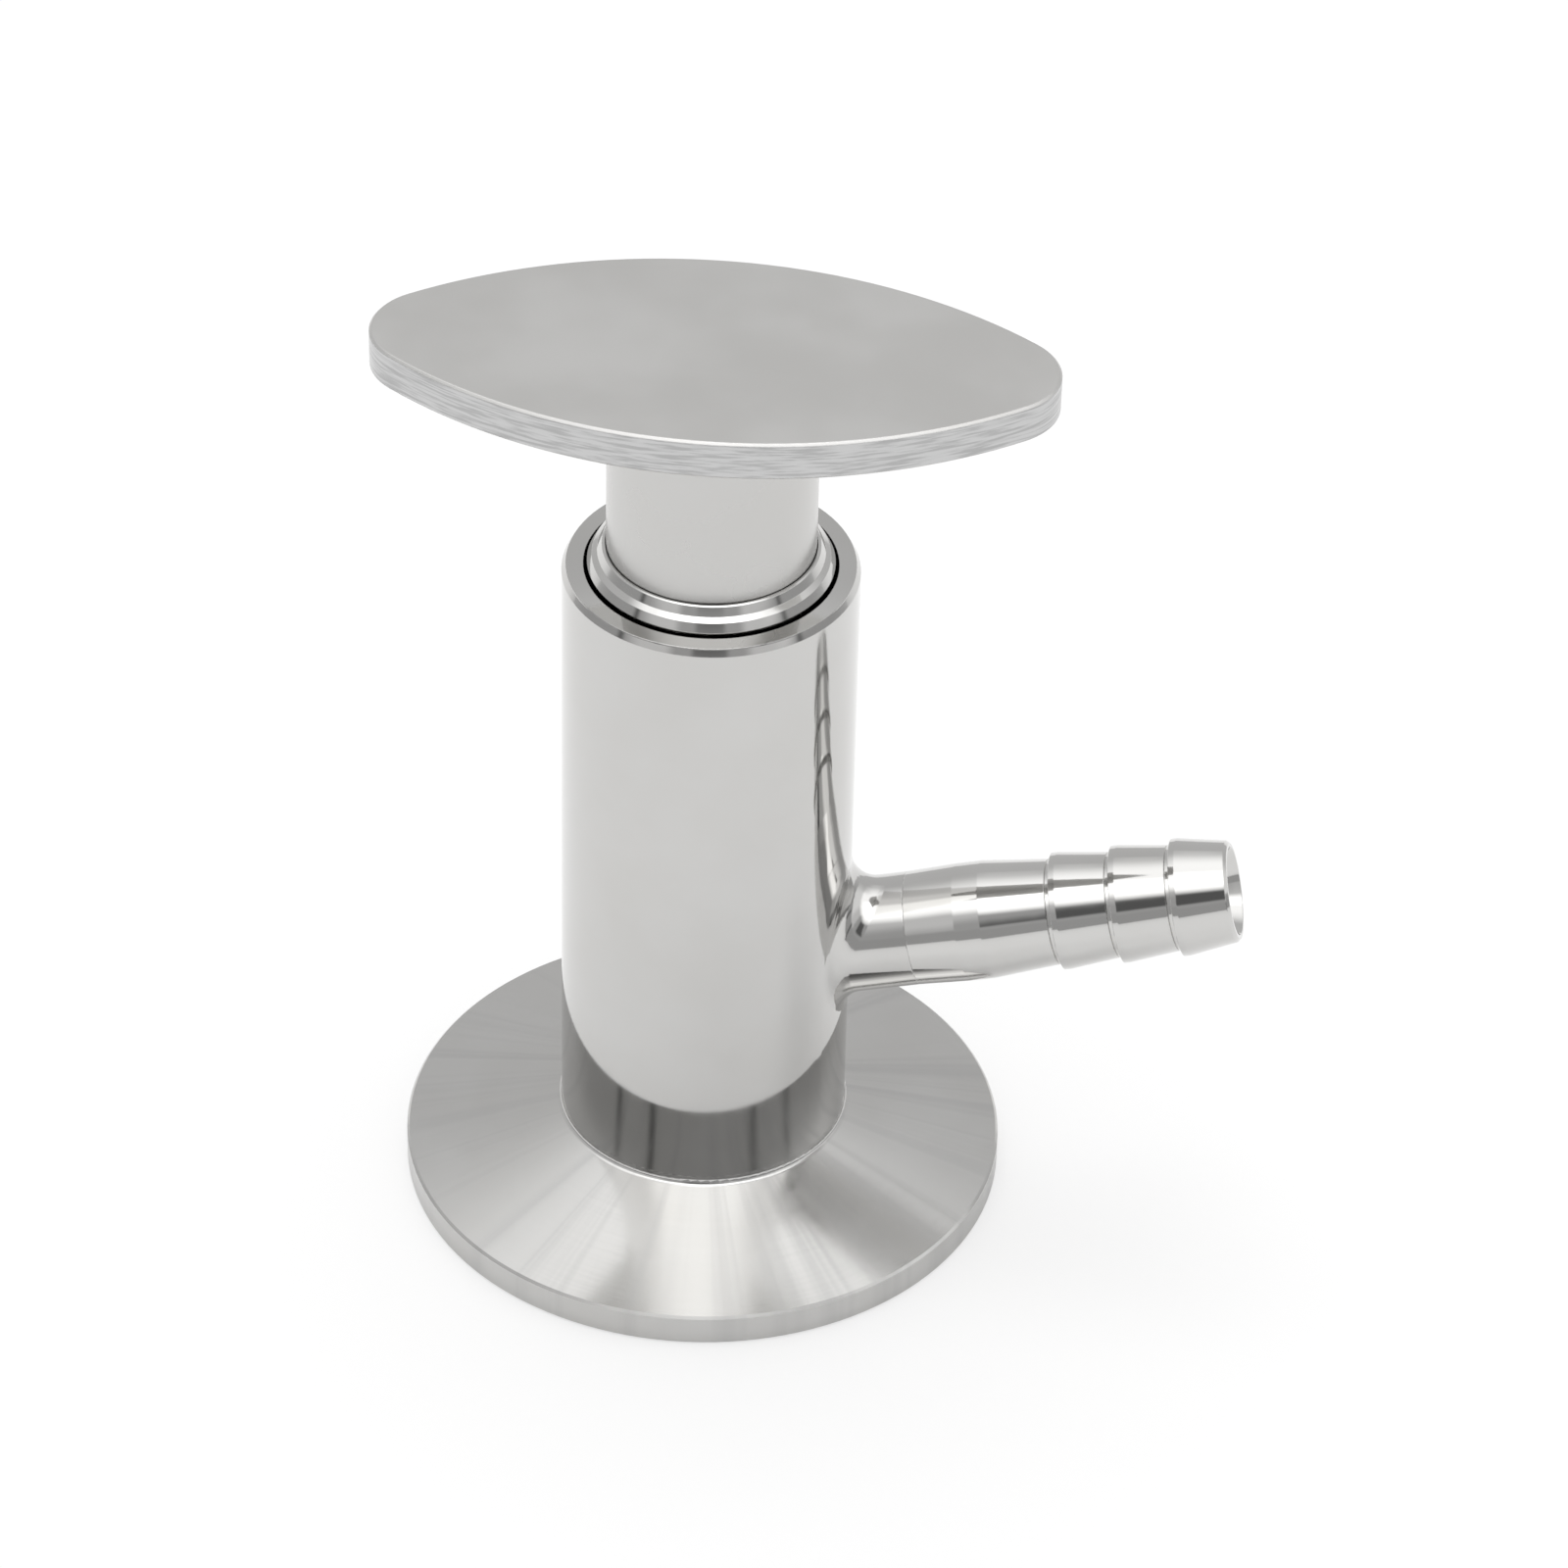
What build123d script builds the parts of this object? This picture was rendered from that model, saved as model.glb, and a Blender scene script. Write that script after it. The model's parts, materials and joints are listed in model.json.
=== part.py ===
from build123d import *
import os

# Sanitary sampling valve: a 1.5 inch clamp ferrule carries a polished body with a hose barb.
# A screw spindle under an oval handle lifts a silicone-tipped plunger off its seat.
# Millimetres. The valve axis is Z, z = 0 is the clamp face, and the hose barb leans up from +X.

# Clamp ferrule
FERRULE_R = 25.25          # 50.5 mm clamp rim
RIM_T = 2.85               # cylindrical edge of the rim
CONE_TOP_Z = 6.1           # where the sloping clamp face would reach the neck
NECK_FILLET_R = 0.5
FERRULE_TOP_Z = 6.8        # weld line between ferrule and body
RIM_EDGE = 0.2
GROOVE_R = 21.75           # pitch radius of the gasket groove
GROOVE_SECTION_R = 1.6
GROOVE_DEPTH = 1.4

# Seat and chamber
PORT_R = 5.0               # opening in the clamp face
SEAT_BOTTOM_Z = 1.5
SEAT_TOP_Z = 6.2
CHAMBER_R = 7.0            # bore that the plunger runs in

# Body
BODY_R = 12.05
BODY_TOP_Z = 61.6
RIM_CHAMFER_R = 0.35       # bright bevel round the outer edge of the mouth
RIM_CHAMFER_H = 0.6
BUSH_THREAD_R = 9.0        # outside of the bush's fixing thread
BUSH_BOTTOM_Z = 46.0
THREAD_BORE_Z = 45.0       # floor of the threaded counterbore
FLANGE_SEAT_Z = 56.0
MOUTH_R = 10.3             # counterbore round the bush flange
LEAD_IN = 0.6              # bevel that lets the piston rings enter the chamber

# Outlet and hose barb, stations measured along the outlet's own axis from the valve axis
OUTLET_Z = 21.4            # where the outlet's axis crosses the valve axis
OUTLET_TILT = 13.6         # degrees that the barb leans up from the horizontal
OUTLET_BORE_R = 3.2
NECK_R = 4.75
ROOT_FILLET_R = 2.3
BARB_WELD_X = 18.0
FLARE_TOP_X = 22.2
SHOULDER_X = 24.35
SHOULDER_R = 4.94
BARB_X = 30.3              # first of the three barbs
BARB_PITCH = 5.03
BARB_COUNT = 3
CREST_R = 4.9
CREST_LAND = 0.5
VALLEY_R = 4.42
RELIEF_WIDTH = 0.4         # narrow cut at the foot of each barb
RELIEF_DEPTH = 0.18
TIP_X = 45.1
TIP_R = 4.25
TIP_EDGE = 0.25
TIP_MOUTH_R = 3.7          # the bore opens out to this at the tip
TIP_MOUTH_DEPTH = 1.2

# Bonnet bush, screwed into the mouth
FLANGE_R = 10.0
COLLAR_FACETS = (          # radius and height of the turned edges, from the flange up
    (10.0, 61.88),
    (9.62, 62.54),
    (9.19, 62.89),
    (8.82, 63.55),
)
COLLAR_TOP_R = 8.7
COLLAR_TOP_Z = 63.65
BUSH_BORE_R = 8.55         # guides the hub
GUIDE_FLOOR_Z = 57.0
BUSH_LEAD_R = 7.05         # runs on the spindle's lead thread
BONNET_RING_R = 9.76       # centre of the seal ring's section, squeezed in the flange gap
BONNET_RING_Z = 58.6
BONNET_RING_SECTION_R = 0.5
WIPER_R = 8.93
WIPER_Z = 60.6
WIPER_SECTION_R = 0.42
GLAND_PLAY = 0.05          # each side of a seal ring in its groove
RING_SIDES = 12            # flats of a seal ring's section

# Spindle
STEM_LEAD_R = 7.0          # crest of the 14 x 2 lead thread
LEAD_BOTTOM_Z = 47.0
LEAD_EDGE = 0.8            # bevel at the thread's start
SPINDLE_SHOULDER_Z = 57.5
STEM_R = 4.5
STEM_BOTTOM_Z = 38.6
SHANK_R = 5.0              # screwed and bonded into the hub
SHANK_TOP_Z = 71.5
TIP_STEM_R = 3.5           # journal that turns in the plunger
TIP_STEM_BOTTOM_Z = 31.32
TIP_GROOVE_R = 2.7
EDGE = 0.4
STOP_RING_Z = 40.0
STOP_RING_T = 0.9
STOP_GROOVE_R = 3.9
STOP_RING_R = 6.0
STOP_RING_GAP = 2.6
STOP_LUG_X = 4.75
STOP_LUG_Y = 2.1
STOP_LUG_HOLE_R = 0.4

# Hub and handle plate
HUB_R = 8.48
PLATE_BOTTOM_Z = 78.9
PLATE_TOP_Z = 82.2
PLATE_HALF_LENGTH = 27.4
PLATE_HALF_WIDTH = 12.87
PLATE_TIP_R = 5.6
PLATE_ANGLE = -1.2         # where the long axis stands, against the barb, when closed
PLATE_EDGE = 0.2

# Plunger: piston head, waist and foot
PISTON_R = 6.95
PISTON_TOP_Z = 38.0
PISTON_BOTTOM_Z = 27.6
WAIST_TOP_Z = 24.6
WAIST_R = 3.6
FOOT_TOP_Z = 13.0
FOOT_Z = 10.6
FOOT_R = 5.4
PLUNGER_BOTTOM_Z = 6.6
SOCKET_R = 3.55
SOCKET_FLOOR_Z = 30.5
WASHER_T = 0.8
SWIVEL_PIN_R = 0.75
SWIVEL_PIN_Z = 34.0
SWIVEL_PIN_Y = 3.5         # each pin crosses the socket wall tangentially
SWIVEL_PIN_HALF_LENGTH = 5.2
SWIVEL_PLAY = 0.05         # each side of a pin in the journal's groove
PISTON_RING_Z = (29.4, 36.3)
PISTON_RING_SECTION_R = 0.62
RING_GROOVE_HALF_WIDTH = 0.85
RING_GROOVE_R = 5.7

# Silicone plug and the stud that snaps into the foot
PLUG_BOTTOM_Z = 0.4
PLUG_GAP = 0.12            # radial gap to the metal seat, taken up when it is pressed
PLUG_BRIM_R = 6.4
STUD_R = 2.0
STUD_NECK_TOP_Z = 8.3
STUD_HEAD_R = 2.8
STUD_TOP_Z = 9.5

seat_slope = (SEAT_TOP_Z - SEAT_BOTTOM_Z) / (CHAMBER_R - PORT_R)
plug_rise = (PLUG_BRIM_R - PORT_R + PLUG_GAP) * seat_slope

outlet_way = Vector(1, 0, 0).rotate(Axis.Y, -OUTLET_TILT)
outlet_plane = Plane(origin=(0, 0, OUTLET_Z), x_dir=(0, 1, 0), z_dir=outlet_way)
barb_section_plane = Plane(origin=(0, 0, OUTLET_Z), x_dir=outlet_way, z_dir=(0, -1, 0))
outlet_axis = Axis((0, 0, OUTLET_Z), outlet_way)


def turn(points, mode=Mode.ADD, plane=Plane.XZ, axis=Axis.Z):
    """Revolve a closed outline, drawn as (station, radius) or (radius, height), into the part."""
    with BuildSketch(plane) as section:
        with BuildLine():
            Polyline(*points, close=True)
        make_face()
    revolve(section.sketch, axis=axis, mode=mode)


def turn_ring(centre_r, z, section_r):
    """Revolve a nearly round section about the valve axis: a seal ring."""
    with BuildSketch(Plane.XZ) as section:
        with Locations((centre_r, z)):
            RegularPolygon(section_r, RING_SIDES, rotation=180 / RING_SIDES)
    revolve(section.sketch, axis=Axis.Z)


def turn_groove(inner_r, outer_r, z, half_width):
    """Cut a square groove round the valve axis."""
    turn(
        [
            (inner_r, z - half_width),
            (outer_r, z - half_width),
            (outer_r, z + half_width),
            (inner_r, z + half_width),
        ],
        mode=Mode.SUBTRACT,
    )


def save(body, name):
    body.part.label = name
    export_step(body.part, f"parts/{name}.step")


os.makedirs("parts", exist_ok=True)

# ---- Clamp ferrule: rim, sloping clamp face, weld neck, seat cone and gasket groove ----
with BuildPart() as clamp_ferrule:
    with BuildSketch(Plane.XZ) as ferrule_section:
        with BuildLine():
            Polyline(
                (PORT_R, 0),
                (FERRULE_R - RIM_EDGE, 0),
                (FERRULE_R, RIM_EDGE),
                (FERRULE_R, RIM_T - RIM_EDGE),
                (FERRULE_R - RIM_EDGE, RIM_T),
                (BODY_R, CONE_TOP_Z),
                (BODY_R, FERRULE_TOP_Z),
                (CHAMBER_R, FERRULE_TOP_Z),
                (CHAMBER_R, SEAT_TOP_Z),
                (PORT_R, SEAT_BOTTOM_Z),
                close=True,
            )
        make_face()
        neck_corner = ferrule_section.vertices().sort_by_distance((BODY_R, CONE_TOP_Z))[0]
        fillet(neck_corner, NECK_FILLET_R)
        with Locations((GROOVE_R, GROOVE_DEPTH - GROOVE_SECTION_R)):
            Circle(GROOVE_SECTION_R, mode=Mode.SUBTRACT)
    revolve(axis=Axis.Z)
save(clamp_ferrule, "clamp_ferrule")

# ---- Valve body: stepped bore and a drawn outlet collar with a blended root ----
with BuildPart() as valve_body:
    with BuildSketch(Plane.XY.offset(FERRULE_TOP_Z)):
        Circle(BODY_R)
    extrude(amount=BODY_TOP_Z - FERRULE_TOP_Z)
    mouth_edge = valve_body.edges().sort_by(Axis.Z)[-1]
    barrel = valve_body.faces().filter_by(GeomType.CYLINDER)[0]
    chamfer(mouth_edge, RIM_CHAMFER_H, RIM_CHAMFER_R, reference=barrel)
    with BuildSketch(outlet_plane):
        Circle(NECK_R)
    extrude(amount=BARB_WELD_X)
    root_edges = valve_body.edges(Select.LAST).filter_by(
        lambda edge: edge.geom_type not in (GeomType.CIRCLE, GeomType.LINE)
    )
    fillet(root_edges, ROOT_FILLET_R)
    turn(
        [
            (0, FERRULE_TOP_Z),
            (CHAMBER_R, FERRULE_TOP_Z),
            (CHAMBER_R, THREAD_BORE_Z - LEAD_IN),
            (CHAMBER_R + LEAD_IN, THREAD_BORE_Z),
            (BUSH_THREAD_R, THREAD_BORE_Z),
            (BUSH_THREAD_R, FLANGE_SEAT_Z),
            (MOUTH_R, FLANGE_SEAT_Z),
            (MOUTH_R, BODY_TOP_Z),
            (0, BODY_TOP_Z),
        ],
        mode=Mode.SUBTRACT,
    )
    with BuildSketch(outlet_plane):
        Circle(OUTLET_BORE_R)
    extrude(amount=BARB_WELD_X, mode=Mode.SUBTRACT)
save(valve_body, "valve_body")

# ---- Hose barb: slightly flared neck, shoulder and three one-way barbs ----
barb_outline = [
    (BARB_WELD_X, 0),
    (BARB_WELD_X, NECK_R),
    (FLARE_TOP_X, SHOULDER_R),
    (SHOULDER_X, SHOULDER_R),
]
for station in [BARB_X + BARB_PITCH * n for n in range(BARB_COUNT)]:
    barb_outline += [
        (station - RELIEF_WIDTH, VALLEY_R),
        (station - RELIEF_WIDTH, VALLEY_R - RELIEF_DEPTH),
        (station, VALLEY_R - RELIEF_DEPTH),
        (station, CREST_R),
        (station + CREST_LAND, CREST_R),
    ]
barb_outline += [(TIP_X - TIP_EDGE, TIP_R), (TIP_X, TIP_R - TIP_EDGE), (TIP_X, 0)]
with BuildPart() as hose_barb:
    turn(barb_outline, plane=barb_section_plane, axis=outlet_axis)
    turn(
        [
            (BARB_WELD_X, 0),
            (BARB_WELD_X, OUTLET_BORE_R),
            (TIP_X - TIP_MOUTH_DEPTH, OUTLET_BORE_R),
            (TIP_X, TIP_MOUTH_R),
            (TIP_X, 0),
        ],
        mode=Mode.SUBTRACT,
        plane=barb_section_plane,
        axis=outlet_axis,
    )
save(hose_barb, "hose_barb")

# ---- Bonnet bush: threaded sleeve, flange and the faceted collar round the hub ----
with BuildPart() as bonnet_bush:
    turn(
        [
            (BUSH_LEAD_R, BUSH_BOTTOM_Z),
            (BUSH_THREAD_R - EDGE, BUSH_BOTTOM_Z),
            (BUSH_THREAD_R, BUSH_BOTTOM_Z + EDGE),
            (BUSH_THREAD_R, FLANGE_SEAT_Z),
            (FLANGE_R, FLANGE_SEAT_Z),
            *COLLAR_FACETS,
            (COLLAR_TOP_R, COLLAR_TOP_Z),
            (BUSH_BORE_R, COLLAR_TOP_Z),
            (BUSH_BORE_R, GUIDE_FLOOR_Z),
            (BUSH_LEAD_R, GUIDE_FLOOR_Z),
        ]
    )
    flange_gland_r = BONNET_RING_R - BONNET_RING_SECTION_R
    wiper_gland_r = WIPER_R + WIPER_SECTION_R
    turn_groove(flange_gland_r, FLANGE_R, BONNET_RING_Z, BONNET_RING_SECTION_R + GLAND_PLAY)
    turn_groove(BUSH_BORE_R, wiper_gland_r, WIPER_Z, WIPER_SECTION_R + GLAND_PLAY)
save(bonnet_bush, "bonnet_bush")

# ---- Seals of the bonnet: one in the flange, one that wipes the hub ----
with BuildPart() as bonnet_oring:
    turn_ring(BONNET_RING_R, BONNET_RING_Z, BONNET_RING_SECTION_R)
save(bonnet_oring, "bonnet_oring")

with BuildPart() as hub_wiper:
    turn_ring(WIPER_R, WIPER_Z, WIPER_SECTION_R)
save(hub_wiper, "hub_wiper")

# ---- Spindle: shank for the hub, lead thread, stem and the grooved journal ----
with BuildPart() as spindle:
    turn(
        [
            (0, TIP_STEM_BOTTOM_Z),
            (TIP_STEM_R - EDGE, TIP_STEM_BOTTOM_Z),
            (TIP_STEM_R, TIP_STEM_BOTTOM_Z + EDGE),
            (TIP_STEM_R, STEM_BOTTOM_Z),
            (STEM_R, STEM_BOTTOM_Z),
            (STEM_R, LEAD_BOTTOM_Z),
            (STEM_LEAD_R - LEAD_EDGE, LEAD_BOTTOM_Z),
            (STEM_LEAD_R, LEAD_BOTTOM_Z + LEAD_EDGE),
            (STEM_LEAD_R, SPINDLE_SHOULDER_Z),
            (SHANK_R, SPINDLE_SHOULDER_Z),
            (SHANK_R, SHANK_TOP_Z - EDGE),
            (SHANK_R - EDGE, SHANK_TOP_Z),
            (0, SHANK_TOP_Z),
        ]
    )
    turn_groove(TIP_GROOVE_R, TIP_STEM_R, SWIVEL_PIN_Z, SWIVEL_PIN_R + SWIVEL_PLAY)
    turn_groove(STOP_GROOVE_R, STEM_R, STOP_RING_Z + STOP_RING_T / 2, STOP_RING_T / 2)
save(spindle, "spindle")

# ---- Stop ring: open retaining ring that meets the bush at full lift ----
with BuildPart() as stop_ring:
    with BuildSketch(Plane.XY.offset(STOP_RING_Z)):
        Circle(STOP_RING_R)
        Circle(STOP_GROOVE_R, mode=Mode.SUBTRACT)
        with Locations((STOP_RING_R, 0)):
            Rectangle(2 * STOP_RING_R, STOP_RING_GAP, mode=Mode.SUBTRACT)
        with Locations(*[(STOP_LUG_X, side * STOP_LUG_Y) for side in (-1, 1)]):
            Circle(STOP_LUG_HOLE_R, mode=Mode.SUBTRACT)
    extrude(amount=STOP_RING_T)
save(stop_ring, "stop_ring")

# ---- Handle hub: turned sleeve with a blind socket for the spindle ----
with BuildPart() as handle_hub:
    turn(
        [
            (SHANK_R, SPINDLE_SHOULDER_Z),
            (HUB_R - EDGE, SPINDLE_SHOULDER_Z),
            (HUB_R, SPINDLE_SHOULDER_Z + EDGE),
            (HUB_R, PLATE_BOTTOM_Z),
            (0, PLATE_BOTTOM_Z),
            (0, SHANK_TOP_Z + EDGE),
            (SHANK_R, SHANK_TOP_Z + EDGE),
        ]
    )
save(handle_hub, "handle_hub")

# ---- Handle plate: oval of two long flank arcs and two small tip arcs ----
tip_x = PLATE_HALF_LENGTH - PLATE_TIP_R
half_width_in = PLATE_HALF_WIDTH - PLATE_TIP_R
flank_drop = (tip_x**2 - half_width_in**2) / (2 * half_width_in)
flank_r = PLATE_HALF_WIDTH + flank_drop
join_x = tip_x * flank_r / (flank_r - PLATE_TIP_R)
join_y = flank_drop * flank_r / (flank_r - PLATE_TIP_R) - flank_drop
plate_plane = Plane.XY.offset(PLATE_BOTTOM_Z).rotated((0, 0, PLATE_ANGLE))
with BuildPart() as handle_plate:
    with BuildSketch(plate_plane):
        with BuildLine():
            ThreePointArc((-join_x, join_y), (0, PLATE_HALF_WIDTH), (join_x, join_y))
            ThreePointArc((join_x, join_y), (PLATE_HALF_LENGTH, 0), (join_x, -join_y))
            ThreePointArc((join_x, -join_y), (0, -PLATE_HALF_WIDTH), (-join_x, -join_y))
            ThreePointArc((-join_x, -join_y), (-PLATE_HALF_LENGTH, 0), (-join_x, join_y))
        make_face()
    extrude(amount=PLATE_TOP_Z - PLATE_BOTTOM_Z)
    rims = handle_plate.faces().filter_by(Plane.XY).edges()
    chamfer(rims, PLATE_EDGE)
save(handle_plate, "handle_plate")

# ---- Plunger: piston head with two ring grooves, slim waist and a foot for the plug ----
with BuildPart() as plunger:
    turn(
        [
            (0, PLUNGER_BOTTOM_Z),
            (FOOT_R, PLUNGER_BOTTOM_Z),
            (FOOT_R, FOOT_Z),
            (WAIST_R, FOOT_TOP_Z),
            (WAIST_R, WAIST_TOP_Z),
            (PISTON_R, PISTON_BOTTOM_Z),
            (PISTON_R, PISTON_TOP_Z - EDGE),
            (PISTON_R - EDGE, PISTON_TOP_Z),
            (SOCKET_R, PISTON_TOP_Z),
            (SOCKET_R, SOCKET_FLOOR_Z),
            (0, SOCKET_FLOOR_Z),
        ]
    )
    for z in PISTON_RING_Z:
        turn_groove(RING_GROOVE_R, PISTON_R, z, RING_GROOVE_HALF_WIDTH)
    turn(
        [
            (0, PLUNGER_BOTTOM_Z),
            (STUD_R, PLUNGER_BOTTOM_Z),
            (STUD_R, STUD_NECK_TOP_Z),
            (STUD_HEAD_R, STUD_NECK_TOP_Z),
            (STUD_HEAD_R, STUD_TOP_Z),
            (0, STUD_TOP_Z),
        ],
        mode=Mode.SUBTRACT,
    )
    with BuildSketch(Plane.YZ.offset(-PISTON_R)):
        with Locations(*[(side * SWIVEL_PIN_Y, SWIVEL_PIN_Z) for side in (-1, 1)]):
            Circle(SWIVEL_PIN_R)
    extrude(amount=2 * PISTON_R, mode=Mode.SUBTRACT)
save(plunger, "plunger")

# ---- Swivel pins: two dowels that hold the spindle's journal and let it turn ----
with BuildPart() as swivel_pins:
    with BuildSketch(Plane.YZ.offset(-SWIVEL_PIN_HALF_LENGTH)):
        with Locations(*[(side * SWIVEL_PIN_Y, SWIVEL_PIN_Z) for side in (-1, 1)]):
            Circle(SWIVEL_PIN_R)
    extrude(amount=2 * SWIVEL_PIN_HALF_LENGTH)
save(swivel_pins, "swivel_pins")

# ---- Thrust washer between the journal's end and the socket floor ----
with BuildPart() as thrust_washer:
    with BuildSketch(Plane.XY.offset(SOCKET_FLOOR_Z)):
        Circle(SOCKET_R)
    extrude(amount=WASHER_T)
save(thrust_washer, "thrust_washer")

# ---- Piston rings: the lower one keeps product out of the thread, the upper one backs it ----
for name, z in zip(("lower_oring", "upper_oring"), PISTON_RING_Z):
    with BuildPart() as piston_ring:
        turn_ring(PISTON_R - PISTON_RING_SECTION_R, z, PISTON_RING_SECTION_R)
    save(piston_ring, name)

# ---- Seat plug: silicone cone with a mushroom stud ----
with BuildPart() as seat_plug:
    turn(
        [
            (0, PLUG_BOTTOM_Z),
            (PORT_R - PLUG_GAP, PLUG_BOTTOM_Z),
            (PORT_R - PLUG_GAP, SEAT_BOTTOM_Z),
            (PLUG_BRIM_R, SEAT_BOTTOM_Z + plug_rise),
            (PLUG_BRIM_R, PLUNGER_BOTTOM_Z),
            (STUD_R, PLUNGER_BOTTOM_Z),
            (STUD_R, STUD_NECK_TOP_Z),
            (STUD_HEAD_R, STUD_NECK_TOP_Z),
            (STUD_HEAD_R, STUD_TOP_Z),
            (0, STUD_TOP_Z),
        ]
    )
save(seat_plug, "seat_plug")
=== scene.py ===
import json
import math

import bpy
from mathutils import Matrix, Vector

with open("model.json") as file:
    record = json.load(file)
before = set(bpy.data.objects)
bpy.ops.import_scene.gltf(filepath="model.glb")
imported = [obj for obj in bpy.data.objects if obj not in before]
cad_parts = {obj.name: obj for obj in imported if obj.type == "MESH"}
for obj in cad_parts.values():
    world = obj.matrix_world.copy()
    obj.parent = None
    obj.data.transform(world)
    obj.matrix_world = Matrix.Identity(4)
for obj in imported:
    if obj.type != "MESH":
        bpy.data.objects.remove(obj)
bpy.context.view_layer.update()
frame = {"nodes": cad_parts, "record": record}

MM = 0.001

# Camera: where it stands round the valve's axis, and how it is aimed
CAMERA_AZIMUTH = math.radians(5.38)
CAMERA_REACH = 444.8 * MM
CAMERA_HEIGHT = 382.2 * MM
CAMERA_PITCH = math.radians(37.63)
CAMERA_YAW = math.radians(0.807)
CAMERA_ROLL = math.radians(1.379)
CAMERA_LENS = 156.64
SENSOR_WIDTH = 36.0

# What polished metal reflects: levels, where 1 is white
WHITE = 1.0
AMBIENT = 0.86            # light on matt surfaces
FRONT_LOW = 0.44          # below the studio's front wall
FRONT_MID = 0.48          # round the camera
FRONT_WALL = 0.78
WALL_LEFT = 0.66
WALL_RIGHT = 1.05
BACK_LOW = 0.66
BACK_TOP = 1.60
FRONT_TOP = 2.50          # soft box above the camera
LENS_DARK = 0.13          # camera and stand
SEAM_DARK = 0.10          # upright gaps between the panels

# Where those parts start and end, in degrees: heights above the horizon, and bearings from the camera's
# side, with the right positive
BACK_RISE = (36, 76)
CAMERA_CLEARING = (24, 34)
RIGHT_WALL_START = (45, 65)
LEFT_WALL_END = (-70, -50)
LOW_END = (15, 19)
WALL_END = (42, 52)
SOFT_BOX_START = (50, 60)
SOFT_BOX_SIDES = (45, 75)
FRONT_SIDES = (95, 130)
LENS_BEARINGS, LENS_BEARING_SOFT = (-13, 13), 3
LENS_HEIGHTS, LENS_HEIGHT_SOFT = (23, 43), 2.5
INNER_SEAM, INNER_SEAM_SOFT = (36.5, 41), 2
OUTER_SEAM, OUTER_SEAM_SOFT = (65, 69), 2.5

# Floor and lamp
FLOOR_COLOUR = (0.93, 0.93, 0.93, 1.0)
FLOOR_RADIUS = 3.0
FLOOR_SIDES = 96
FLOOR_GAP = 0.02 * MM     # keeps the floor and the clamp face from sharing a plane
FLOOR_FADE = (0.05, 0.40)
FLOOR_LIFT = 0.62         # share of plain white in the floor that the camera sees by the part
LAMP_POWER = 5.0
LAMP_SIZE = 0.9
LAMP_PLACE = Vector((-0.10, 0.25, 1.15))
LAMP_TARGET = Vector((0.0, 0.0, 0.03))

# Steel, shared by all finishes
CLOUD_ENDS = (0.3, 0.7)   # the stretch of noise that the clouds use
CLOUD_DETAIL = 3.0
LIGHT_TINT = (1.0, 0.993, 0.976)
DARK_TINT = (0.965, 0.955, 0.933)
GRAIN_ROUGHNESS = 0.06
GRAIN_SHADE = 0.75
GRAIN_TINT = 0.10
# Painted reflection: the turned ferrule's spokes are darker radial streaks painted into its colour, standing in
# for the streaks in its highlight. The first two set how dark they are and over which stretch of noise they
# fall; the last two vary roughness, which is real.
PAINTED_SPOKE_SHADE = 0.7
PAINTED_SPOKE_ENDS = (0.45, 0.70)
SPOKE_ROUGH_ENDS = (0.35, 0.70)
SPOKE_ROUGHNESS = (-0.02, 0.03)
WAVE_SCALE = 160.0
BEVEL_SAMPLES = 4

# Buffed rim of the body's mouth, and the belt-ground side of the handle's plate
RIM_Z = 61.5 * MM
RIM_SLOPE = 0.14
PLATE_SIDE = (79.1 * MM, 82.0 * MM)
SIDE_SOFT = 0.05 * MM
SIDE_LINES = (0.40, 0.66)
SIDE_ROUGH = 0.30
SIDE_LIGHT = 0.56
SIDE_DARK = 0.42

# Rubber and plastic
RUBBER_CLOUD_SCALE = 500.0
RUBBER_SHADE = 0.85
RUBBER_GRAIN_SCALE = 3000.0
RUBBER_BUMP = 0.3
RUBBER_RELIEF = 0.02 * MM


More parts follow.
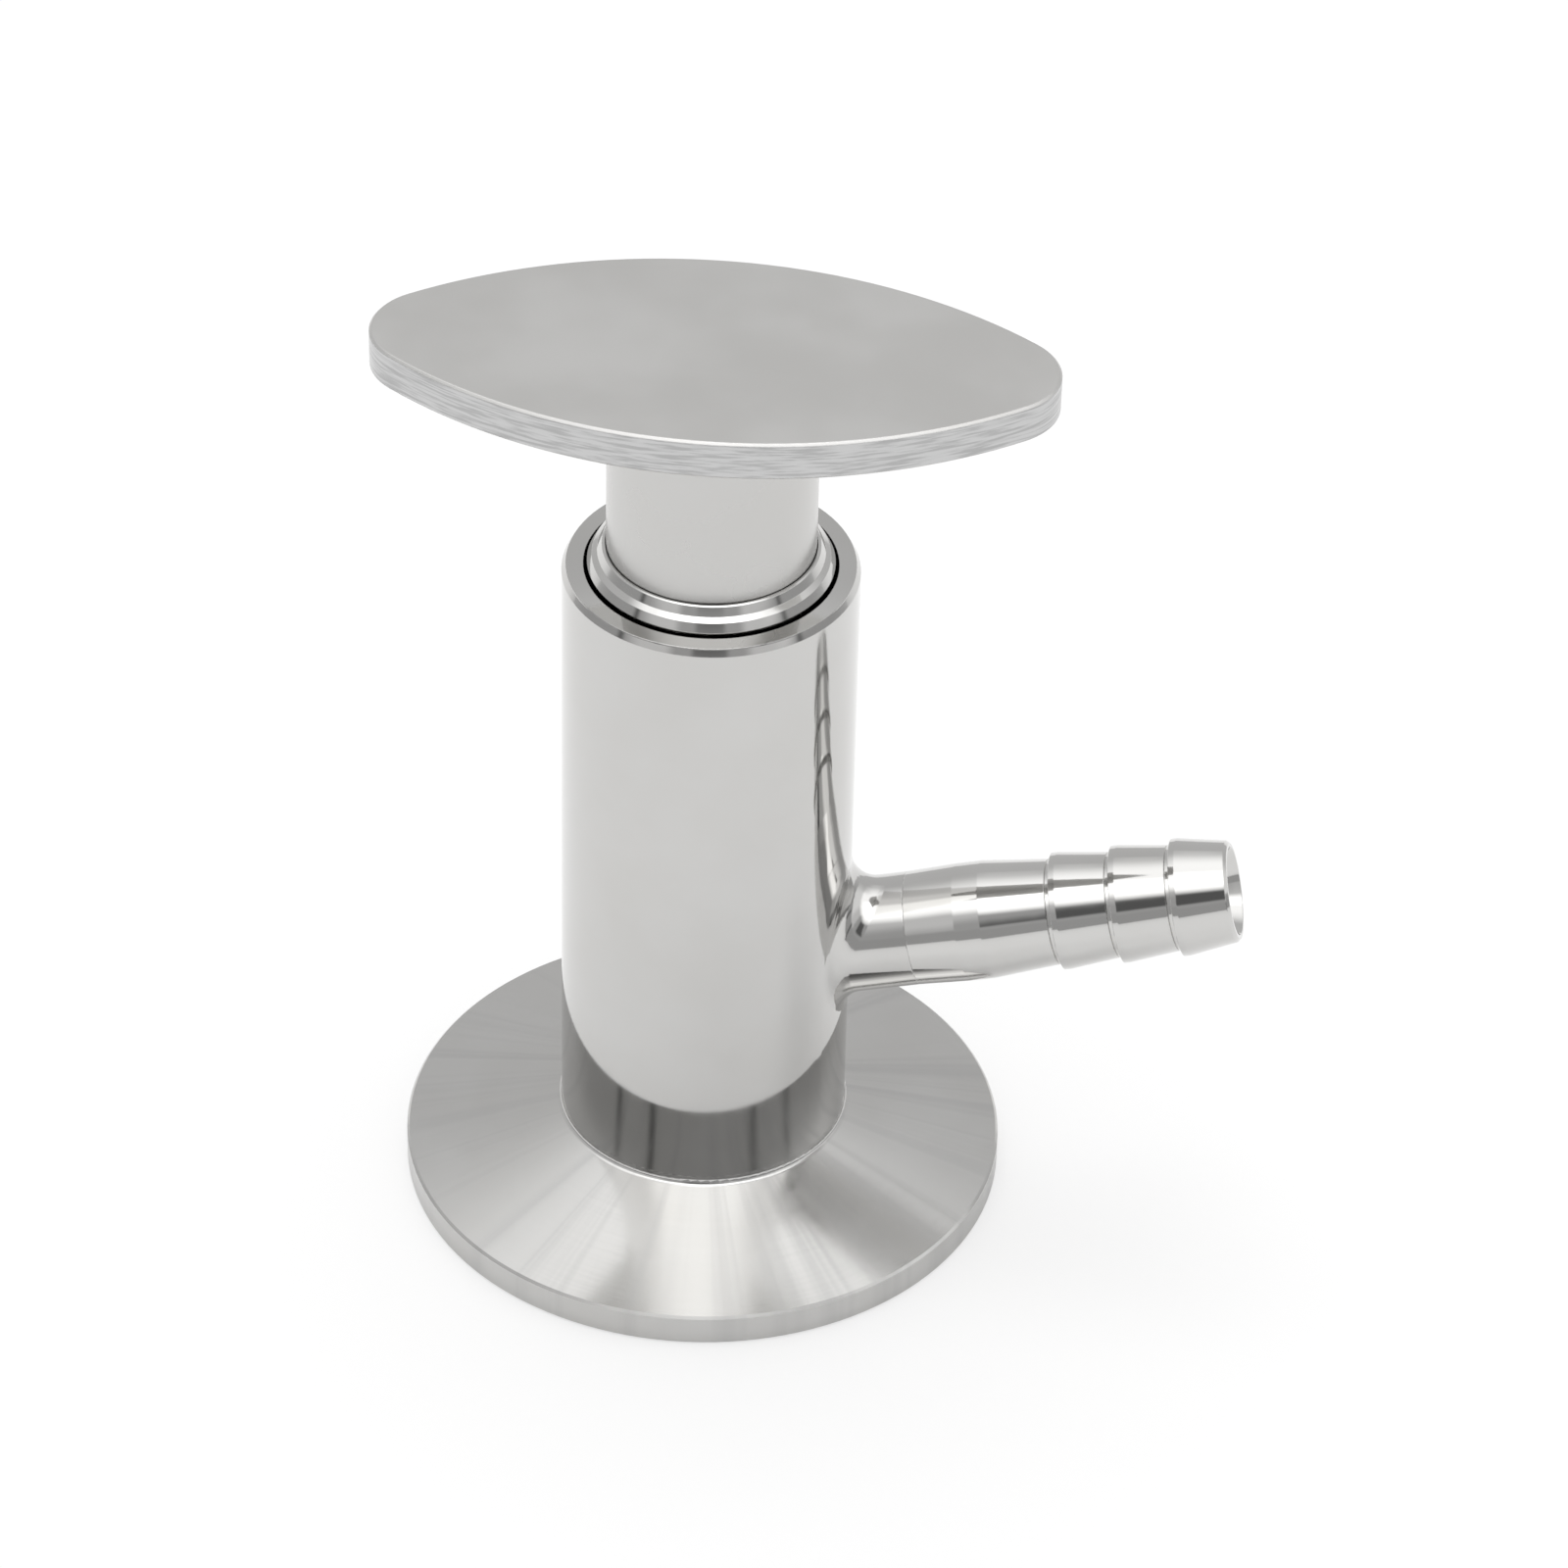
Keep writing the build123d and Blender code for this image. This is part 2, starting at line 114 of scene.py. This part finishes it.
class Graph:
    """Short forms for building a node tree."""

    def __init__(self, tree):
        self.tree = tree
        self.nodes = tree.nodes
        self.nodes.clear()

    def node(self, kind, **inputs):
        made = self.nodes.new(kind)
        for name, value in inputs.items():
            self.feed(made.inputs[name.replace("_", " ")], value)
        return made

    def feed(self, socket, value):
        if isinstance(value, bpy.types.NodeSocket):
            self.tree.links.new(value, socket)
        else:
            socket.default_value = value

    def math(self, operation, *values):
        made = self.nodes.new("ShaderNodeMath")
        made.operation = operation
        for socket, value in zip(made.inputs, values):
            self.feed(socket, value)
        return made.outputs[0]

    def ramp(self, value, ends, low=0.0, high=1.0):
        """Smooth step from low, where value is at the first end, to high, where it is at the second."""
        made = self.nodes.new("ShaderNodeMapRange")
        made.interpolation_type = "SMOOTHSTEP"
        for socket, number in zip(made.inputs, (value, *ends, low, high)):
            self.feed(socket, number)
        return made.outputs[0]

    def band(self, value, ends, soft):
        """1 between the ends, falling to 0 over soft at each side."""
        start, end = ends
        rise = self.ramp(value, (start - soft, start + soft))
        fall = self.ramp(value, (end - soft, end + soft), 1.0, 0.0)
        return self.math("MULTIPLY", rise, fall)

    def mix(self, factor, a, b):
        """Colour mix; sockets 6, 7 and 2 are the node's colour ones."""
        made = self.nodes.new("ShaderNodeMix")
        made.data_type = "RGBA"
        self.feed(made.inputs["Factor"], factor)
        self.feed(made.inputs[6], a)
        self.feed(made.inputs[7], b)
        return made.outputs[2]

    def noise(self, vector, scale, detail=2.0, roughness=0.5):
        made = self.node("ShaderNodeTexNoise", Scale=scale, Detail=detail, Roughness=roughness)
        self.feed(made.inputs["Vector"], vector)
        return made.outputs["Fac"]

    def place(self):
        return self.node("ShaderNodeTexCoord").outputs["Object"]

    def split(self, vector):
        return self.node("ShaderNodeSeparateXYZ", Vector=vector).outputs

    def join(self, x, y):
        joined = self.nodes.new("ShaderNodeCombineXYZ")
        self.feed(joined.inputs[0], x)
        self.feed(joined.inputs[1], y)
        return joined.outputs[0]

    def vector_math(self, operation, vector):
        made = self.nodes.new("ShaderNodeVectorMath")
        made.operation = operation
        self.feed(made.inputs[0], vector)
        return made.outputs

    def mix_shader(self, factor, a, b):
        made = self.node("ShaderNodeMixShader")
        for socket, value in zip(made.inputs, (factor, a, b)):
            self.feed(socket, value)
        return made.outputs[0]

    def finish(self, kind, shader):
        out = self.node(kind)
        self.feed(out.inputs["Surface"], shader)

    def bump(self, normal, height, distance, strength=1.0):
        """Relief on top of another normal, or on the surface itself where that is None."""
        made = self.node("ShaderNodeBump", Strength=strength, Distance=distance, Height=height)
        if normal:
            self.feed(made.inputs["Normal"], normal)
        return made.outputs[0]


def new_material(name):
    material = bpy.data.materials.new(name)
    material.use_nodes = True
    return material, Graph(material.node_tree)


def grey(level):
    return (level, level, level, 1.0)


def degrees(*values):
    return tuple(math.radians(value) for value in values)


bpy.context.scene.view_settings.view_transform = "Standard"


# ---- Camera ----
def make_camera():
    data = bpy.data.cameras.new("camera")
    data.sensor_width = SENSOR_WIDTH
    data.lens = CAMERA_LENS
    camera = bpy.data.objects.new("camera", data)
    bpy.context.scene.collection.objects.link(camera)
    bpy.context.scene.camera = camera
    place = Matrix.Translation((0.0, -CAMERA_REACH, CAMERA_HEIGHT))
    aim = (
        Matrix.Rotation(-CAMERA_YAW, 4, "Z")
        @ Matrix.Rotation(math.pi / 2 - CAMERA_PITCH, 4, "X")
        @ Matrix.Rotation(CAMERA_ROLL, 4, "Z")
    )
    camera.matrix_world = Matrix.Rotation(CAMERA_AZIMUTH, 4, "Z") @ place @ aim


# ---- Studio: white backdrop, the surroundings that metal reflects, floor and lamp ----
def surroundings(g):
    """Colour seen in each direction, by its bearing from the camera's side and its height above the horizon."""
    x, y, z = g.split(g.node("ShaderNodeTexCoord").outputs["Generated"])
    front_x, front_y = math.sin(CAMERA_AZIMUTH), -math.cos(CAMERA_AZIMUTH)
    ahead = g.math("ADD", g.math("MULTIPLY", x, front_x), g.math("MULTIPLY", y, front_y))
    aside = g.math("ADD", g.math("MULTIPLY", x, -front_y), g.math("MULTIPLY", y, front_x))
    bearing = g.math("ARCTAN2", aside, ahead)
    off_front = g.math("ABSOLUTE", bearing)
    height = g.math("ARCSINE", z)

    back = g.ramp(height, degrees(*BACK_RISE), BACK_LOW, BACK_TOP)
    wall = g.ramp(off_front, degrees(*CAMERA_CLEARING), FRONT_MID, FRONT_WALL)
    wall = g.mix(g.ramp(bearing, degrees(*RIGHT_WALL_START)), wall, grey(WALL_RIGHT))
    wall = g.mix(g.ramp(bearing, degrees(*LEFT_WALL_END), 1.0, 0.0), wall, grey(WALL_LEFT))
    front = g.mix(g.ramp(height, degrees(*LOW_END)), grey(FRONT_LOW), wall)
    front = g.mix(g.ramp(height, degrees(*WALL_END)), front, grey(BACK_TOP))
    over_camera = g.ramp(height, degrees(*SOFT_BOX_START))
    between_sides = g.ramp(off_front, degrees(*SOFT_BOX_SIDES), 1.0, 0.0)
    front = g.mix(g.math("MULTIPLY", over_camera, between_sides), front, grey(FRONT_TOP))
    seen = g.mix(g.ramp(off_front, degrees(*FRONT_SIDES), 1.0, 0.0), back, front)

    lens_wide = g.band(bearing, degrees(*LENS_BEARINGS), math.radians(LENS_BEARING_SOFT))
    lens_high = g.band(height, degrees(*LENS_HEIGHTS), math.radians(LENS_HEIGHT_SOFT))
    seen = g.mix(g.math("MULTIPLY", lens_wide, lens_high), seen, grey(LENS_DARK))
    low = g.ramp(height, degrees(*LOW_END), 1.0, 0.0)
    inner = g.band(off_front, degrees(*INNER_SEAM), math.radians(INNER_SEAM_SOFT))
    outer = g.band(off_front, degrees(*OUTER_SEAM), math.radians(OUTER_SEAM_SOFT))
    seams = g.math("MULTIPLY", g.math("MAXIMUM", inner, outer), low)
    return g.mix(seams, seen, grey(SEAM_DARK))


def make_world():
    world = bpy.data.worlds.new("studio")
    world.use_nodes = True
    bpy.context.scene.world = world
    g = Graph(world.node_tree)
    reflected = g.node("ShaderNodeBackground", Color=surroundings(g), Strength=WHITE)
    ambient = g.node("ShaderNodeBackground", Color=grey(1.0), Strength=AMBIENT)
    backdrop = g.node("ShaderNodeBackground", Color=grey(1.0), Strength=WHITE)
    rays = g.node("ShaderNodeLightPath").outputs
    lit = g.mix_shader(rays["Is Glossy Ray"], ambient.outputs[0], reflected.outputs[0])
    looked_at = g.math("MAXIMUM", rays["Is Camera Ray"], rays["Is Transmission Ray"])
    g.finish("ShaderNodeOutputWorld", g.mix_shader(looked_at, lit, backdrop.outputs[0]))


def make_floor():
    """Matt floor that takes the shadow, fading to plain white for the camera away from the part."""
    bpy.ops.mesh.primitive_circle_add(vertices=FLOOR_SIDES, radius=FLOOR_RADIUS, fill_type="NGON")
    floor = bpy.context.object
    floor.name = "floor"
    floor.location.z = -FLOOR_GAP
    material, g = new_material("floor")
    matt = g.node("ShaderNodeBsdfDiffuse", Color=FLOOR_COLOUR)
    plain = g.node("ShaderNodeEmission", Color=grey(1.0), Strength=WHITE)
    distance = g.vector_math("LENGTH", g.place())["Value"]
    fade = g.ramp(distance, FLOOR_FADE, FLOOR_LIFT, 1.0)
    fade = g.math("MULTIPLY", fade, g.node("ShaderNodeLightPath").outputs["Is Camera Ray"])
    g.finish("ShaderNodeOutputMaterial", g.mix_shader(fade, matt.outputs[0], plain.outputs[0]))
    floor.data.materials.append(material)


def make_lamp():
    data = bpy.data.lights.new("softbox", "AREA")
    data.shape = "DISK"
    data.size = LAMP_SIZE
    data.energy = LAMP_POWER
    lamp = bpy.data.objects.new("softbox", data)
    bpy.context.scene.collection.objects.link(lamp)
    lamp.visible_glossy = False
    lamp.location = LAMP_PLACE
    lamp.rotation_euler = (LAMP_TARGET - LAMP_PLACE).to_track_quat("-Z", "Y").to_euler()


# ---- Grain, by finish ----
def radius_of(g, place):
    x, y, z = g.split(place)
    squares = g.math("ADD", g.math("MULTIPLY", x, x), g.math("MULTIPLY", y, y))
    return g.math("SQRT", squares), z


def streaks(g, u, v, scale_u, scale_v, detail=2.0):
    """Noise over two lengths, each with its own scale, so that it draws out into streaks."""
    made = g.node("ShaderNodeTexNoise", Scale=1.0, Detail=detail, Roughness=0.5)
    made.noise_dimensions = "2D"
    g.feed(made.inputs["Vector"], g.join(g.math("MULTIPLY", u, scale_u), g.math("MULTIPLY", v, scale_v)))
    return made.outputs["Fac"]


def turned_rings(g, place):
    """Fine tool rings about the valve's axis, told apart by radius and height."""
    radius, z = radius_of(g, place)
    return streaks(g, radius, z, scale_u=5000.0, scale_v=3000.0)


def radial_sheen(g, place):
    """Soft spoke-like streaks, as a turned cone shows them in its sheen: noise over the direction from the
    axis. steel() paints them into the colour as darker streaks, a painted reflection, and also varies the
    roughness with them.
    """
    x, y, z = g.split(place)
    way = g.vector_math("NORMALIZE", g.join(x, y))["Vector"]
    return g.noise(way, scale=9.0, detail=4.0, roughness=0.6)


def blasted(g, place):
    """Bead blasting: a fine even stipple."""
    return g.noise(place, scale=6000.0, detail=3.0, roughness=0.6)


def long_grain(g, place):
    """Belt grain on the plate's side, drawn out along the plate's length."""
    x, y, z = g.split(place)
    return streaks(g, x, z, scale_u=300.0, scale_v=4200.0, detail=4.0)


# ---- Steel ----
def cloudy_tint(g, colour, clouds):
    dark, light = ([colour * part for part in tint] + [1.0] for tint in (DARK_TINT, LIGHT_TINT))
    return g.mix(g.ramp(clouds, CLOUD_ENDS), dark, light)


def steel(name, colour, rough_ends, cloud=90.0, anisotropy=0.0, grain=None, grain_tint=GRAIN_TINT, bump=0.0,
          painted_spokes=0.0, waviness=0.0, edge=0.0, crown=0.0, side=None):
    """Stainless steel with cloudy roughness, and a grain drawn by a function.

    waviness and bump are relief depths, and edge the radius that softens corners. crown is the slope of
    the rim above RIM_Z. side is the range of heights that has belt grain instead of the face's finish.
    """
    material, g = new_material(name)
    place = g.place()
    clouds = g.noise(place, cloud, CLOUD_DETAIL)
    tint = cloudy_tint(g, colour, clouds)
    rough = g.ramp(clouds, CLOUD_ENDS, *rough_ends)
    if grain:
        relief = grain(g, place)
        uneven = g.math("MULTIPLY", g.math("SUBTRACT", relief, 0.5), GRAIN_ROUGHNESS)
        rough = g.math("ADD", rough, uneven)
        tint = g.mix(g.math("MULTIPLY", relief, grain_tint * 2), tint, grey(colour * GRAIN_SHADE))
    # Painted reflection: darker radial streaks mixed into the colour stand in for the streaks in a turned
    # face's highlight; the roughness that the same noise varies is real.
    if painted_spokes:
        spread = radial_sheen(g, place)
        tint = g.mix(g.ramp(spread, PAINTED_SPOKE_ENDS, 0.0, painted_spokes), tint, grey(colour * PAINTED_SPOKE_SHADE))
        rough = g.math("ADD", rough, g.ramp(spread, SPOKE_ROUGH_ENDS, *SPOKE_ROUGHNESS))
    if side:
        z = g.split(place)["Z"]
        on_side = g.band(z, side, SIDE_SOFT)
        lines = g.ramp(long_grain(g, place), SIDE_LINES)
        tint = g.mix(on_side, tint, g.mix(lines, grey(SIDE_LIGHT), grey(SIDE_DARK)))
        rough = g.mix(on_side, rough, grey(SIDE_ROUGH))
    shader = g.node("ShaderNodeBsdfPrincipled", Metallic=1.0, Base_Color=tint, Roughness=rough)
    if anisotropy:
        shader.inputs["Anisotropic"].default_value = anisotropy
        tangent = g.nodes.new("ShaderNodeTangent")
        tangent.direction_type = "RADIAL"
        tangent.axis = "Z"
        g.feed(shader.inputs["Tangent"], tangent.outputs[0])
    normal = None
    if edge:
        rounded = g.node("ShaderNodeBevel", Radius=edge)
        rounded.samples = BEVEL_SAMPLES
        normal = rounded.outputs[0]
    if waviness:
        normal = g.bump(normal, g.noise(place, WAVE_SCALE, 1.0), waviness)
    if crown:
        radius, z = radius_of(g, place)
        fall = g.math("MULTIPLY", g.math("MULTIPLY", radius, -crown), g.math("GREATER_THAN", z, RIM_Z))
        normal = g.bump(normal, fall, 1.0)
    if bump:
        normal = g.bump(normal, relief, bump)
    if normal:
        g.feed(shader.inputs["Normal"], normal)
    g.finish("ShaderNodeOutputMaterial", shader.outputs[0])
    return material


# ---- Rubber and plastic ----
def soft_plastic(name, colour, rough_ends, subsurface=0.0):
    material, g = new_material(name)
    place = g.place()
    clouds = g.noise(place, RUBBER_CLOUD_SCALE, CLOUD_DETAIL)
    dark = [part * RUBBER_SHADE for part in colour[:3]] + [1.0]
    shader = g.node("ShaderNodeBsdfPrincipled", Base_Color=g.mix(clouds, dark, colour))
    g.feed(shader.inputs["Roughness"], g.ramp(clouds, CLOUD_ENDS, *rough_ends))
    shader.inputs["Subsurface Weight"].default_value = subsurface
    shader.inputs["Subsurface Scale"].default_value = MM
    grain = g.noise(place, RUBBER_GRAIN_SCALE, 2.0)
    g.feed(shader.inputs["Normal"], g.bump(None, grain, RUBBER_RELIEF, RUBBER_BUMP))
    g.finish("ShaderNodeOutputMaterial", shader.outputs[0])
    return material


make_camera()
make_world()
make_floor()
make_lamp()

MATERIALS = {
    # The ferrule's spokes are a painted reflection: darker radial streaks in its colour.
    "ferrule_steel": steel(
        "ferrule_steel", 0.60, (0.12, 0.17), anisotropy=0.85, grain=turned_rings, grain_tint=0.04,
        bump=0.0002 * MM, painted_spokes=0.30,
    ),
    "polished_steel": steel(
        "polished_steel", 0.575, (0.04, 0.09), waviness=0.0012 * MM, edge=0.12 * MM, crown=RIM_SLOPE
    ),
    "barb_steel": steel("barb_steel", 0.60, (0.03, 0.07), waviness=0.0010 * MM, edge=0.12 * MM),
    "bush_steel": steel("bush_steel", 0.60, (0.05, 0.10), edge=0.06 * MM),
    "hub_steel": steel("hub_steel", 0.565, (0.24, 0.32), cloud=60.0, anisotropy=0.4),
    "plate_steel": steel(
        "plate_steel", 0.655, (0.34, 0.42), grain=blasted, grain_tint=0.05, bump=0.0006 * MM,
        edge=0.15 * MM, side=PLATE_SIDE,
    ),
    "inner_steel": steel("inner_steel", 0.58, (0.15, 0.25), grain=turned_rings, bump=0.0003 * MM),
    "spring_steel": steel("spring_steel", 0.45, (0.25, 0.35)),
    "seal_rubber": soft_plastic("seal_rubber", (0.02, 0.02, 0.02, 1.0), (0.45, 0.6)),
    "silicone": soft_plastic("silicone", (0.80, 0.78, 0.73, 1.0), (0.35, 0.5), subsurface=0.3),
    "ptfe": soft_plastic("ptfe", (0.86, 0.86, 0.84, 1.0), (0.4, 0.5)),
}
for part in frame["record"]["subparts"]:
    node = frame["nodes"][part["node"]]
    node.data.materials.clear()
    node.data.materials.append(MATERIALS[part["material_slot"]])
